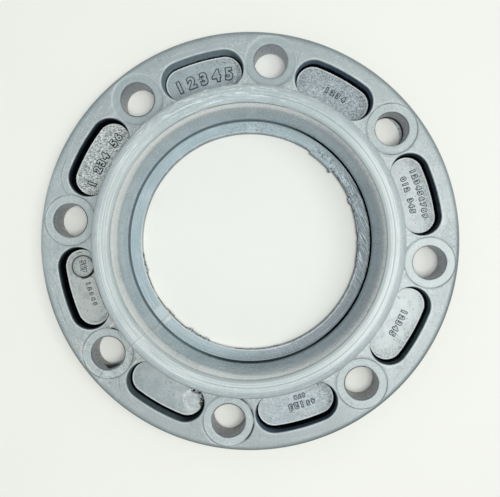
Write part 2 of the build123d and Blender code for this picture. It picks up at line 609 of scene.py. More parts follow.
# %% Drill the holes
HOLE_ROUND = 80
SEAT_SECTION = ((0.12, 0.0), (0.0, 0.1), (-0.08, 0.32), (-0.25, SEAT_DEPTH), (-1.6, SEAT_DEPTH), (-3.6, SEAT_DEPTH))
seats, hole_ends = [], []
for bolt in range(BOLTS):
    angle = (bolt + 0.5) * STEP
    centre = (BOLT_CIRCLE_R * math.cos(angle), BOLT_CIRCLE_R * math.sin(angle))
    levels = [(SEAT_R + dr, DISC_T - d, "washer seat") for dr, d in SEAT_SECTION]
    top = DISC_T - SEAT_DEPTH
    levels += [(HOLE_R + 0.6, top, "washer seat"), (HOLE_R + 0.3, top - 0.08, "washer seat")]
    levels += [(HOLE_R + 0.07, top - 0.3, "hole wall")]
    levels += [(HOLE_R, z, "hole wall") for z in (top - 0.8, 24, 16, 8, 1.0)]
    levels += [(HOLE_R + 0.1, 0.3, "hole wall"), (HOLE_R + 0.4, 0.0, "hole wall")]
    loops = [skin.add(ring(r, z, HOLE_ROUND, centre)) for r, z, _ in levels]
    for low, high, (_, _, surface) in zip(loops, loops[1:], levels[1:]):
        skin.join(low, high, number[surface])
    seats.append(loops[0])
    hole_ends.append(loops[-1])
print("points with the holes:", len(skin.points))


# %% Fill the two level faces
def bolt_gap(x, y):
    """How far points are from the nearest bolt's axis."""
    angle = np.arctan2(y, x) % STEP - STEP / 2
    r = np.hypot(x, y)
    return np.hypot(r * np.cos(angle) - BOLT_CIRCLE_R, r * np.sin(angle))


def pocket_gap(x, y):
    """How far points are outside the nearest pocket."""
    return np.min([kidney_gap(x, y, p) for p in range(BOLTS)], axis=0)


def on_back_face(x, y, margin=0.0):
    r = np.hypot(x, y)
    ring_ok = (r < RIM_R - 2.0 - margin) & (r > HUB_ROOT_X + 2.0 + margin)
    return ring_ok & (bolt_gap(x, y) > SEAT_R + 0.12 + margin) & (pocket_gap(x, y) > 0.5 + margin)


def on_sealing_face(x, y, margin=0.0):
    r = np.hypot(x, y)
    ring_ok = (r < RIM_R - 0.9 - margin) & (r > 98.0 + margin)
    return ring_ok & (bolt_gap(x, y) > HOLE_R + 0.4 + margin)


wide = honeycomb(-RIM_R, -RIM_R, RIM_R, RIM_R, 2.0)
upper = wide[on_back_face(wide[:, 0], wide[:, 1], 0.8)]
skin.fill([back_outer, back_inner, *mouths, *seats], upper.tolist(), on_back_face, number["back face"],
          lambda x, y: DISC_T)
wide = honeycomb(-RIM_R, -RIM_R, RIM_R, RIM_R, 4.0)
lower = wide[on_sealing_face(wide[:, 0], wide[:, 1], 1.5)]
skin.fill([face_outer, face_inner, *hole_ends], lower.tolist(), on_sealing_face, number["sealing face"],
          lambda x, y: 0.0, up=False)
print("points in all:", len(skin.points), "faces:", len(skin.faces))

# %% [markdown]
# ## Finishes
# PVC for pressure pipe is a cool grey with a soft shine. On this part no two surfaces look the same: the hub
# is scuffed pale, the socket wall is darker and smooth enough to mirror the table, the pipe stop is
# finely turned and scratched, and the pocket walls are nearly black. All of them start from one recipe, and each
# surface adds its own marks on top. Many of the colours are painted light and shade as well: sides made lighter
# or darker by how the light falls, painted highlights on edges, a painted reflection of the table in the socket,
# and painted black shade in the pocket walls and in the corner of the pipe stop.

# %% The common recipe
def srgb(*levels):
    """A colour as read from a screen, 0 to 255, as the linear numbers that a shader takes."""
    return tuple(v / 255 / 12.92 if v <= 10 else ((v / 255 + 0.055) / 1.055) ** 2.4 for v in levels)


PHOTO_ANGLE = 15.8


class Moulded(Finish):
    """Grey PVC: cloudy colour, a soft shine and a faint orange peel. Sizes are in millimetres."""

    def __init__(self, name, colour, rough=0.42, clouds=0.06, peel=0.02):
        super().__init__(name)
        split = self.node("ShaderNodeSeparateXYZ", {}, {0: self.place})
        self.x, self.y, self.z = [Wire(self, axis) / MM for axis in split.socket.node.outputs]
        self.r = self.math("SQRT", self.x * self.x + self.y * self.y)
        self.angle = self.math("ARCTAN2", self.y, self.x)
        dark = tuple(c * (1 - clouds) for c in colour)
        light = tuple(c * (1 + clouds) for c in colour)
        cloudy = self.step(self.noise(22, 4, roughness=0.6), 0.3, 0.7)
        specks = self.step(self.noise(1.1, 2), 0.35, 0.7)
        self.colour = self.mix(cloudy * 0.6 + specks * 0.4, dark, light)
        self.rough = rough + (self.noise(9, 4) - 0.5) * 0.16
        self.relief = (self.noise(2.4, 3) - 0.5) * peel

    def tone(self, mask, colour, dull=0.0):
        """Paints a colour where the mask is 1. A dull mark also loses the shine, without which no mark is black."""
        self.colour = self.mix(mask, self.colour, srgb(*colour))
        if dull:
            self.rough = self.rough + mask * dull

    def line(self, value, at, width):
        """1 where the value is at this place, falling to 0 within the width."""
        return 1 - self.step(self.math("ABSOLUTE", value - at), width * 0.3, width)

    def sector(self, start, end, soft=5.0):
        """1 between two angles of the photograph, in degrees."""
        middle = math.radians((start + end) / 2 - PHOTO_ANGLE)
        away = self.math("ABSOLUTE", self.math("WRAP", self.angle - middle, math.pi, -math.pi))
        half = (end - start) / 2
        return 1 - self.step(away, math.radians(half - soft), math.radians(half + soft))

    def streaks(self, around, value, across, detail=3.0, distortion=0.0):
        """Noise stretched round the pipe axis: its features are so long around and so wide across a value."""
        scale = HUB_END_R / around
        sockets = {0: self.x / self.r * scale, 1: self.y / self.r * scale, 2: value / across}
        place = self.node("ShaderNodeCombineXYZ", {}, sockets)
        sockets = {"Vector": place, "Scale": 1.0, "Detail": detail, "Distortion": distortion}
        return self.node("ShaderNodeTexNoise", {}, sockets)

    def scratches(self, degrees, length, width, rarity):
        """Straight fine scratches at an angle of the photograph."""
        c, s = math.cos(math.radians(degrees - PHOTO_ANGLE)), math.sin(math.radians(degrees - PHOTO_ANGLE))
        along, across = self.x * c + self.y * s, self.y * c - self.x * s
        place = self.node("ShaderNodeCombineXYZ", {}, {0: along / length, 1: across / width, 2: degrees * 1.0})
        return self.step(self.node("ShaderNodeTexNoise", {}, {"Vector": place, "Scale": 1.0, "Detail": 2.0}),
                         rarity, rarity + 0.1)

    def veins(self, size, width, seed):
        """Fine wandering lines, such as flow lines, where a cloudy noise crosses its middle."""
        place = self.node("ShaderNodeVectorMath", {"operation": "ADD"}, {0: self.place, 1: (seed, seed * 0.7, 0)})
        cloud = self.noise(size, 3, place)
        return 1 - self.step(self.math("ABSOLUTE", cloud - 0.5), 0.0, width)

    def from_bolt(self):
        """How far the nearest bolt's axis is."""
        angle = self.math("WRAP", self.angle - STEP / 2, STEP / 2, -STEP / 2)
        along = self.r * self.math("COSINE", angle) - BOLT_CIRCLE_R
        across = self.r * self.math("SINE", angle)
        return self.math("SQRT", along * along + across * across)

    def from_pocket(self):
        """How far outside the nearest pocket's mouth."""
        angle = self.math("WRAP", self.angle, STEP / 2, -STEP / 2)
        held = self.math("MINIMUM", self.math("MAXIMUM", angle, -POCKET_HALF_ANGLE), POCKET_HALF_ANGLE)
        along = self.r * self.math("COSINE", angle - held) - POCKET_LINE_R
        across = self.r * self.math("SINE", angle - held)
        return self.math("SQRT", along * along + across * across) - POCKET_HALF_W

    def weld_line(self, strength=0.7, haze=0.35):
        """The line where the two streams of plastic met while the mould filled."""
        turned = self.math("WRAP", self.angle - math.radians(221.5 - PHOTO_ANGLE), math.pi, -math.pi)
        aside = turned * self.r + (self.noise(14, 3) - 0.5) * 9
        near = 1 - self.step(self.math("ABSOLUTE", turned), 0.2, 0.3)
        line = self.line(aside, 0.0, 0.55) * near
        self.tone(line * strength, (112, 122, 122))
        self.relief = self.relief - line * 0.06
        self.tone(self.line(aside, 1.6, 2.6) * near * self.step(self.noise(3, 3), 0.4, 0.6) * haze, (222, 226, 220))

    def done(self, **constants):
        bump = self.node("ShaderNodeBump", {}, {"Height": self.relief * MM, "Distance": 1.0, "Strength": 1.0})
        sockets = {"Base Color": self.colour, "Roughness": self.rough, "IOR": 1.52, "Normal": bump}
        return self.output(self.node("ShaderNodeBsdfPrincipled", {}, {**sockets, **constants}))


GREY = srgb(165, 177, 179)
print("the grey of the plastic, linear:", [round(c, 3) for c in GREY])


# %% [markdown]
# ## The back of the disc
# This is the surface that the bolt heads and washers press on, and the one that was handled most. It has fine
# mottling and whitish smears. The thin dark line round every washer seat and the darker band round the rim's
# rounded edge are painted shade, and one side is painted lighter and others darker by how the light falls.

# %% Finish of the disc and the seats
def disc_marks(finish):
    """Marks that run over the disc and the seats alike, and the painted light and shade that they share."""
    # Painted highlight on the right-hand side, and painted shade on the top side.
    finish.tone(finish.sector(-62, 32, 22) * 0.22, (216, 228, 227))
    finish.tone(finish.sector(60, 145, 14) * 0.22, (134, 151, 156))
    smears = finish.step(finish.streaks(16, finish.r, 3.0, 4, 1.2), 0.52, 0.72)
    finish.tone(smears * 0.3, (208, 219, 218))
    finish.tone(finish.step(finish.noise(1.7, 3), 0.5, 0.72) * 0.2, (128, 141, 145))
    grit, patches = finish.noise(0.8, 2), finish.step(finish.noise(13, 3), 0.38, 0.62)
    finish.tone(finish.step(grit, 0.55, 0.66) * (0.1 + 0.32 * patches), (220, 230, 228))
    finish.tone((1 - finish.step(grit, 0.34, 0.45)) * (0.08 + 0.26 * patches), (122, 135, 139))
    cuts = finish.scratches(38, 20, 0.4, 0.66) + finish.scratches(152, 16, 0.4, 0.68)
    finish.tone(cuts * finish.step(finish.noise(26, 2), 0.45, 0.6) * 0.4, (118, 128, 131))
    finish.tone(finish.scratches(74, 12, 0.5, 0.64) * 0.35, (226, 234, 232))
    finish.tone(finish.veins(30, 0.006, 0.4) * 0.3, (118, 128, 130))
    corner = finish.sector(204, 232, 4)
    finish.tone(corner * finish.veins(11, 0.014, 0.9) * 0.55, (108, 114, 112))
    finish.tone(corner * finish.step(finish.noise(5, 4), 0.52, 0.7) * 0.4, (172, 170, 160))
    finish.weld_line(0.5)
    finish.relief = finish.relief + (finish.noise(0.8, 2) - 0.5) * 0.035


def seat_ring(finish, bolt):
    """The edge of a washer seat: a painted shade line, with a painted highlight on its outer side at the top of the
    disc.
    """
    ring, rubbed_and_lit = finish.line(bolt, SEAT_R + 0.1, 0.55), finish.sector(66, 142, 6)
    wear_and_shade_weight = 0.25 + 0.45 * finish.step(finish.noise(12, 2), 0.4, 0.6)
    # A painted shade line round the seat's edge; at the top of the disc it is weaker, and its outer side gets a painted
    # highlight.
    finish.tone(ring * wear_and_shade_weight * (1 - rubbed_and_lit * 0.75), (96, 105, 106))
    finish.tone(ring * rubbed_and_lit * finish.step(finish.r, 112, 122) * 0.6, (214, 224, 223))
    # Bolder painted black shade on parts of two seats.
    bold = finish.sector(263, 275, 2) * finish.step(finish.noise(14, 2), 0.34, 0.5)
    bold = bold + finish.sector(211, 217.5, 1) * (1 - finish.step(finish.r, 108, 112))
    bold = bold * (1 - finish.step(finish.r, 131, 134))
    finish.tone(finish.line(bolt, SEAT_R + 0.15, 0.95) * bold, (8, 10, 12), 0.5)


def disc_finish():
    disc = Moulded("moulded_disc", GREY, rough=0.4, clouds=0.05, peel=0.03)
    disc_marks(disc)
    seat_ring(disc, disc.from_bolt())
    pocket = disc.from_pocket()
    lip = disc.line(pocket, 0.7, 0.9)
    disc.tone(lip * disc.step(disc.noise(8, 3), 0.35, 0.6) * 0.5, (208, 219, 219))
    # Painted shade over the lower side of the disc.
    disc.tone(disc.sector(226, 302, 8) * 0.38, (136, 147, 149))
    witness = disc.line(pocket, 5.2, 0.5) * disc.step(disc.r, 116, 121)
    witness = witness * (disc.sector(155, 168, 1) + disc.sector(219, 229, 1) + disc.sector(196, 206, 2))
    disc.tone(witness * 0.45, (98, 108, 110))
    # Painted shade on the outer part of the disc at the top, then a painted shade band round the rim's rounded edge,
    # darkest on the lower side.
    disc.tone(disc.step(disc.r, 128, 139) * disc.sector(20, 150, 14) * 0.25, (122, 138, 142))
    shaded = 0.45 + 0.25 * disc.sector(284, 362, 8) - 0.4 * disc.sector(158, 190, 6)
    disc.tone(disc.step(disc.r, 136.0, 138.6) * shaded, (100, 112, 114))
    disc.tone(disc.step(disc.r, 138.2, 139.5) * disc.sector(195, 345, 16) * 0.65, (72, 80, 82))
    hatch = disc.scratches(38, 12, 0.55, 0.52) + disc.scratches(146, 9, 0.5, 0.56)
    disc.tone(hatch * disc.sector(-6, 5, 2) * disc.step(disc.r, 126, 131) * 0.7, (112, 124, 127))
    near_hub = 1 - disc.step(disc.r, 102, 110)
    # Painted shade where the disc meets the hub on the lower left.
    disc.tone((1 - disc.step(disc.r, 99, 102)) * disc.sector(172, 254, 10) * 0.45, (132, 143, 144))
    crumbs = near_hub * disc.step(disc.noise(1.5, 4, roughness=0.7), 0.52, 0.58)
    disc.tone(crumbs * (0.6 + 0.3 * disc.sector(85, 215, 12)), (232, 239, 236))
    disc.tone(near_hub * (1 - disc.step(disc.noise(2.2, 4), 0.36, 0.45)) * 0.5, (120, 132, 133))
    flow = disc.sector(207, 236, 4) * (1 - disc.step(disc.r, 108, 117))
    disc.tone(flow * disc.step(disc.noise(4, 4), 0.42, 0.6) * 0.55, (136, 133, 120))
    disc.tone(flow * disc.scratches(48, 9, 0.8, 0.54) * 0.7, (226, 230, 222))
    return disc.done()


def seat_finish():
    seat = Moulded("washer_seat", srgb(172, 185, 185), rough=0.46, clouds=0.05, peel=0.03)
    disc_marks(seat)
    bolt = seat.from_bolt()
    # Painted highlight on the seats on the right, and painted shade on those at the top.
    seat.tone(seat.sector(-20, 10, 5) * 0.3, (226, 236, 235))
    seat.tone(seat.sector(66, 146, 10) * 0.3, (118, 137, 142))
    seat_ring(seat, bolt)
    # A painted shade line at the edge of the hole, darkest on its hub side.
    edge = seat.line(bolt, HOLE_R + 0.3, 0.6)
    seat.tone(edge * (0.2 + 0.4 * seat.step(seat.noise(9, 2), 0.45, 0.6)), (84, 92, 94))
    hub_side = (1 - seat.step(seat.r, 113, 122)) * seat.sector(108, 326, 10)
    seat.tone(edge * hub_side * 0.9, (34, 40, 42), 0.5)
    return seat.done()


# %% [markdown]
# ## Pockets
# The walls of the pockets are given a nearly black colour, which is painted shade, because hardly any light
# reaches them and their steep draft shows no shine; the upper part of each outer wall is painted lighter, as
# painted light. The floors carry the marks of the spark-eroded mould. How coarse each point of a floor is has
# been worked out already for its relief, so the mesh keeps that number as an attribute, and the finish reads it.

# %% Finish of the pockets
# For each pocket: the painted light on its outer wall, as a colour, and how far down the wall that reaches.
WALLS = (
    ((70, 78, 88), 9.5), ((94, 114, 134), 10.0), ((162, 181, 188), 14.2), ((46, 58, 68), 6.5),
    ((46, 58, 64), 6.0), ((106, 122, 125), 11.5), ((72, 88, 100), 7.5), ((80, 95, 98), 9.5),
)


def pocket_wall_finish():
    # The base colour is painted shade: nearly black, with no shine.
    wall = Moulded("pocket_wall", srgb(6, 8, 12), rough=0.6, clouds=0.1, peel=0.02)
    depth = DISC_T - wall.z + (wall.streaks(3, wall.z, 30) - 0.5) * 4
    for pocket, (colour, reach) in enumerate(WALLS):
        middle = math.degrees(pocket * STEP) + PHOTO_ANGLE
        lit = 1 - wall.step(depth, reach - 2.5, reach + 2.0)
        wall.tone(lit * wall.sector(middle - 22, middle + 22, 1.5), colour)
    # Painted light high on the walls at two sides, and painted shade lower down at two others.
    upper = 1 - wall.step(depth, 6, 13)
    wall.tone(upper * (wall.sector(66, 80, 3) + wall.sector(264, 278, 4)) * 0.6, (138, 158, 176))
    wall.tone(wall.sector(84, 95, 3) * wall.step(depth, 3, 9) * 0.85, (16, 24, 30))
    wall.tone(wall.sector(249, 262, 3) * wall.step(depth, 0, 5) * 0.85, (14, 18, 20))
    wall.tone(wall.step(wall.noise(1.4, 3), 0.5, 0.66) * 0.3, (30, 36, 42))
    # A painted highlight along the top of the wall, weaker on the left and lower side.
    lip = 0.95 - 0.6 * wall.sector(136, 312, 8)
    wall.tone((1 - wall.step(depth, 0.7, 1.9)) * lip, (160, 172, 174))
    return wall.done(**{"Specular IOR Level": 0.0})


INSERT_X, INSERT_Y, INSERT_R = -114.8, 14.7, 7.0


def pocket_tones(finish):
    """The pockets' floors differ in colour, and so do the numbers on them: mostly painted light and shade, lighter
    where the light falls and darker towards the hub in one pocket.
    """
    finish.tone(finish.sector(-2, 34, 2) * 0.35, (208, 220, 222))
    finish.tone(finish.sector(45, 76, 2) * 0.26, (106, 134, 150))
    finish.tone(finish.sector(134, 168, 2) * 0.5, (208, 220, 218))
    finish.tone(finish.sector(226, 262, 2) * finish.step(finish.noise(8, 3), 0.38, 0.62) * 0.4, (136, 152, 153))
    hub_side = 1 - finish.step(finish.r, 106, 122)
    finish.tone(finish.sector(84, 128, 2) * (0.08 + 0.38 * hub_side), (92, 116, 130))
    finish.tone(finish.sector(178, 214, 2) * 0.6, (204, 211, 206))
    finish.tone(finish.sector(270, 300, 2) * 0.25, (150, 172, 186))
    finish.tone(finish.sector(314, 348, 2) * 0.55, (210, 224, 223))


def pocket_floor_finish():
    floor = Moulded("pocket_floor", srgb(164, 178, 181), rough=0.34, clouds=0.06, peel=0.0)
    coarse = floor.node("ShaderNodeAttribute", {"attribute_name": "coarse"}, {}, "Fac")
    pocket_tones(floor)
    floor.tone(floor.step(floor.noise(9, 4), 0.46, 0.7) * 0.35, (196, 208, 207))
    floor.tone((1 - floor.step(floor.noise(7, 4), 0.34, 0.5)) * 0.3, (126, 141, 145))
    grain, fine = floor.noise(1.1, 3, roughness=0.7), floor.noise(0.7, 2)
    leather, sandy = floor.sector(134, 168, 2), floor.sector(45, 76, 2)
    floor.tone(coarse * (1 - floor.step(grain, 0.38, 0.5)) * (0.85 - 0.12 * leather), (58, 72, 78))
    floor.tone(coarse * floor.step(grain, 0.55, 0.65) * 0.6, (222, 231, 230))
    floor.tone(leather * 0.26, (208, 221, 219))
    floor.tone(leather * floor.step(floor.noise(1.2, 3, distortion=0.8), 0.5, 0.58) * 0.9, (244, 251, 248))
    dark = floor.scratches(168, 2.4, 0.6, 0.54) + floor.scratches(28, 1.9, 0.6, 0.57)
    floor.tone(leather * dark * 0.9, (74, 88, 92), 0.4)
    sandy = sandy * (0.35 + 0.65 * coarse)
    floor.tone(sandy * floor.step(fine, 0.56, 0.64) * 0.5, (210, 226, 234))
    floor.tone(sandy * (1 - floor.step(fine, 0.38, 0.46)) * 0.5, (60, 84, 100))
    specks = floor.step(floor.noise(1.8, 2), 0.67, 0.7) * (1 - leather)
    floor.tone(specks * 0.7, (62, 72, 74))
    # Painted shade in the low parts of the coarse relief.
    low = 1 - floor.step(floor.z - (DISC_T - POCKET_DEPTH), -0.3, 0.0)
    floor.tone(low * coarse * (1 - leather * 0.7) * 0.45, (60, 70, 74))
    bright = floor.scratches(146, 5, 0.5, 0.58) + floor.scratches(12, 5, 0.5, 0.6)
    floor.tone(bright * floor.sector(270, 302, 2) * 0.6, (230, 239, 243))
    hatched = floor.scratches(112, 7, 0.5, 0.54) * floor.sector(2, 34, 2) * floor.step(floor.r, 117, 121)
    floor.tone(hatched * 0.6, (84, 98, 108))
    # A painted highlight along the round at the outer edge of the floor.
    pocket, outer = floor.from_pocket(), floor.step(floor.r, 112, 118)
    floor.tone(floor.line(pocket, -FLOOR_INSET - 0.45, 0.6) * outer * 0.6, (226, 234, 232))
    x, y = floor.x - INSERT_X, floor.y - INSERT_Y
    away = floor.math("SQRT", x * x + y * y)
    # A dark outline round the insert, and beside it on one side a bold black painted shadow.
    thick = 1 - floor.step(floor.math("ABSOLUTE", floor.math("ARCTAN2", y, x) + 0.98), 0.8, 1.2)
    floor.tone(floor.line(away, INSERT_R + 0.35, 0.9) * 0.85, (26, 32, 34), 0.4)
    floor.tone(floor.line(away, INSERT_R + 0.7, 1.3) * thick, (4, 5, 6), 0.6)
    x, y = floor.x - PLUG_X, floor.y - PLUG_Y
    away = floor.math("SQRT", x * x + y * y) + (floor.noise(3, 2) - 0.5) * 1.5
    near = (1 - floor.step(away, 6, 15)) * floor.sector(226, 262, 1)
    floor.tone(near * floor.step(floor.noise(5, 3), 0.38, 0.62) * 0.5, (224, 231, 227))
    ring = near * floor.line(away, PLUG_R, 1.6)
    floor.tone(ring * floor.step(floor.noise(1.4, 2), 0.42, 0.55) * 0.7, (232, 238, 234))
    torn = floor.line(away, PLUG_R, 3.4) * floor.step(x * 0.97 + y * 0.24, -0.5, 2.5) * floor.sector(226, 262, 1)
    floor.tone(torn * floor.step(floor.noise(1.7, 2, distortion=1.0), 0.4, 0.5), (4, 6, 8), 0.6)
    floor.relief = (grain - 0.5) * (coarse * 0.32 + 0.02) + (floor.noise(2.5, 3) - 0.5) * 0.05
    return floor.done()


# %% [markdown]
# ## Hub
# The shoulder of the hub is where the part was dragged and stacked, so it's scuffed with whitish, wavy streaks.
# The level end is smoother and paler, with lines that follow the mould round. On both, the side towards the
# light is painted lighter and the other sides darker, as painted light and shade.

# %% Finish of the hub
def shoulder_finish():
    hub = Moulded("hub_shoulder", srgb(176, 189, 191), rough=0.44, clouds=0.05, peel=0.03)
    # Painted highlight on the right-hand side and painted shade on the lower side.
    hub.tone(hub.sector(-40, 15, 20) * 0.12, (214, 226, 226))
    hub.tone(hub.sector(262, 318, 10) * 0.32, (148, 162, 165))
    scuffs = hub.step(hub.streaks(11, hub.r + hub.z * 0.6, 0.8, 3, 1.6), 0.55, 0.62)
    wear_and_shade_weight = 0.3 + 0.7 * hub.sector(70, 150, 12)
    hub.tone(scuffs * wear_and_shade_weight * hub.step(hub.r, 91.5, 93.0) * 0.85, (226, 236, 235))
    hub.tone(hub.step(hub.streaks(7, hub.r, 2.0, 3), 0.55, 0.7) * 0.25, (140, 153, 156))
    hub.tone(hub.step(hub.noise(0.9, 2), 0.56, 0.68) * 0.3, (216, 226, 225))
    # Painted shade on the rounded outer edge of the hub, strongest at the bottom.
    edge = hub.step(hub.r, 95.2, 96.2) * hub.step(hub.z, 70, 76)
    hub.tone(edge * hub.sector(75, 325, 20) * (0.45 + 0.4 * hub.sector(222, 305, 12)), (88, 100, 104))
    hub.weld_line(0.45, 0.15)
    return hub.done()


def hub_end_finish():
    end = Moulded("hub_end", srgb(184, 197, 196), rough=0.46, clouds=0.03, peel=0.01)
    # Painted light and shade by side: darker at the top and bottom, painted highlights on the right, and a painted
    # highlight band on the left.
    end.tone(end.sector(46, 134, 18) * 0.62, (146, 166, 169))
    end.tone(end.sector(256, 292, 12) * 0.28, (150, 166, 170))
    end.tone(end.sector(-50, 38, 16) * end.line(end.r, 90.2, 3.4) * 0.3, (238, 248, 247))
    end.tone(end.sector(312, 346, 12) * 0.14, (236, 246, 245))
    end.tone(end.sector(72, 108, 8) * 0.22, (140, 160, 165))
    end.tone(end.sector(202, 252, 12) * 0.2, (148, 162, 164))
    end.tone(end.line(end.r, 92.0, 1.4) * end.sector(138, 252, 12) * 0.4, (222, 234, 232))
    lines = end.streaks(60, end.r, 0.45, 3)
    end.tone(end.step(lines, 0.5, 0.7) * 0.3, (214, 225, 223))
    end.tone((1 - end.step(lines, 0.3, 0.45)) * 0.3, (150, 163, 165))
    end.tone(end.step(end.noise(0.9, 2), 0.55, 0.68) * 0.3, (222, 231, 229))
    wave = end.r + (end.noise(25, 2) - 0.5) * 1.2
    end.tone(end.line(end.r, 89.05, 0.3) * 0.55, (128, 142, 146))
    end.tone(end.line(wave, 91.2, 0.4) * end.step(end.noise(30, 2), 0.4, 0.6) * 0.5, (138, 151, 155))
    end.tone(end.line(wave, 87.4, 0.3) * end.step(end.noise(24, 2), 0.4, 0.55) * 0.4, (146, 160, 163))
    # A painted highlight on the lead-in, strongest on the right.
    end.tone((1 - end.step(end.r, 86.0, 86.5)) * end.sector(-70, 150, 20) * 0.35, (214, 226, 228))
    end.tone(end.line(end.r, MOUTH_R + 0.1, 0.35) * (0.25 + 0.4 * end.sector(-80, 130, 15)), (84, 97, 101))
    scuffs = end.step(end.streaks(16, end.r, 0.7, 3, 1.2), 0.56, 0.64)
    end.tone(scuffs * end.sector(70, 150, 12) * 0.75, (226, 235, 234))
    haze = end.step(end.streaks(30, end.r, 1.6, 3, 0.8), 0.5, 0.66)
    end.tone(haze * end.sector(140, 255, 16) * 0.3, (222, 232, 229))
    end.weld_line(0.3, 0.12)
    return end.done()


# %% [markdown]
# ## Socket, pipe stop and water way
# The socket was moulded against a polished core, so seen along its wall it mirrors the table through the water
# way; its colour also carries a painted reflection of the table, and painted light and shade by side and at its
# foot. Sliding it over a pipe has left fine lines along it. The pipe stop shows fine round lines, and diagonal
# scratches on the right, where something was dragged over it; it is also painted darker on the right, as painted
# shadow. The corner between the two is filled with painted shade, black on the right, and the water way is
# painted lighter on the left and darker on the right.

# %% Finish of the socket and the stop
def socket_finish():
    wall = Moulded("socket_wall", srgb(122, 146, 154), rough=0.2, clouds=0.05, peel=0.0)
    right, left = wall.sector(-75, 75, 18), wall.sector(148, 258, 20)
    # Where the table is mirrored high on the wall: painted there as a pale reflection, and given more coat.
    reflection_band = wall.step(wall.z + left * 8 + (wall.noise(9, 3) - 0.5) * 6, 62, 71)
    # Painted light and shade by side: the right side darker and bluer, the foot lighter as painted light, and the pale
    # band a painted reflection.
    wall.tone(right * 0.9, (144, 165, 178))
    wall.tone(wall.sector(-75, 5, 16) * 0.25, (108, 130, 144))
    wall.tone(right * (1 - wall.step(wall.z, 18, 50)) * 0.85, (190, 208, 218))
    wall.tone(right * (1 - wall.step(wall.z, 10, 19)) * 0.7, (220, 232, 236))
    wall.tone((1 - wall.step(wall.z, 10, 17)) * (1 - wall.sector(250, 345, 14)) * 0.9, (218, 229, 232))
    wall.tone(reflection_band * 0.45, (220, 227, 225))
    # Painted reflection of the table just below the mouth on the left.
    wall.tone(wall.step(wall.z, 70, 77) * wall.sector(112, 240, 12) * 0.5, (228, 234, 232))
    wall.tone(wall.step(wall.z, 72, 78) * wall.sector(122, 150, 8) * 0.5, (236, 241, 239))
    # Painted shade halfway up at the top and painted light there on two other sides; a painted highlight below the
    # mouth and a painted reflection lower on one side.
    wall.tone(wall.line(wall.z, 40, 16) * wall.sector(76, 108, 12) * 0.35, (84, 102, 112))
    wall.tone(wall.line(wall.z, 40, 16) * (wall.sector(30, 62, 12) + wall.sector(166, 200, 12)) * 0.35, (214, 224, 227))
    wall.tone(wall.line(wall.z, 75.5, 5) * wall.sector(-80, 140, 14) * 0.5, (228, 234, 232))
    wall.tone(wall.sector(284, 318, 10) * wall.step(wall.z, 40, 66) * 0.4, (206, 214, 218))
    up = wall.streaks(0.9, wall.z, 26, 3)
    wall.tone(wall.step(up, 0.55, 0.75) * 0.4, (182, 197, 201))
    wall.tone((1 - wall.step(up, 0.3, 0.45)) * (0.35 + 0.2 * right), (76, 94, 104))
    rubbed_and_lit = wall.step(wall.streaks(0.7, wall.z, 16, 3), 0.5, 0.62) * wall.sector(48, 135, 14)
    wall.tone(rubbed_and_lit * wall.step(wall.z, 60, 74) * 0.7, (218, 225, 224))
    brushed = wall.step(wall.streaks(14, wall.z + wall.angle * 22, 3.2, 4, 0.9), 0.5, 0.64)
    wall.tone(brushed * wall.sector(214, 306, 14) * 0.55, (204, 214, 216))
    strokes = wall.step(wall.streaks(1.3, wall.z + wall.angle * 30, 9, 3), 0.5, 0.6)
    wall.tone(strokes * wall.sector(296, 352, 10) * wall.line(wall.z, 58, 22) * 0.5, (84, 100, 110))
    # Painted shadow at the foot of the wall on the lower right.
    wall.tone((1 - wall.step(wall.z, 10, 22)) * wall.sector(255, 325, 14) * 0.4, (70, 92, 102))
    wall.tone((1 - wall.step(wall.z, 9.2, 12)) * wall.sector(262, 330, 8) * 0.6, (20, 30, 38))
    blots = wall.step(wall.noise(3, 3), 0.54, 0.64) * wall.sector(5, 62, 8) * wall.step(wall.z, 48, 58)
    wall.tone(blots * 0.4, (92, 104, 114))
    dots = wall.step(wall.noise(1.7, 1), 0.69, 0.73) * wall.sector(-10, 80, 10)
    wall.tone(dots * 0.8, (52, 62, 70))
    wall.weld_line(0.4, 0.1)
    wall.rough = wall.rough + right * 0.1
    wall.relief = (wall.noise(6, 3) - 0.5) * 0.02
    foot = 1 - wall.step(wall.z, 10, 28)
    mirror = reflection_band * 0.75 + 0.1 + 0.8 * foot + 0.22 * wall.line(wall.z, 36, 22)
    mirror = mirror * (1 - right) + right * (0.2 + 0.3 * reflection_band)
    return wall.done(**{"Coat Weight": mirror, "Coat Roughness": 0.13, "Coat IOR": 1.55})


def corner_finish():
    """The crevice between the socket and the stop, with painted shade: black on the right, dark at the lower side and
    grey elsewhere.
    """
    corner = Moulded("stop_corner", srgb(104, 120, 126), rough=0.6, clouds=0.1, peel=0.0)
    corner.tone(corner.sector(-60, 68, 14), (3, 6, 10))
    corner.tone(corner.sector(250, 300, 14) * 0.7, (24, 34, 42))
    return corner.done(**{"Specular IOR Level": 0.0})


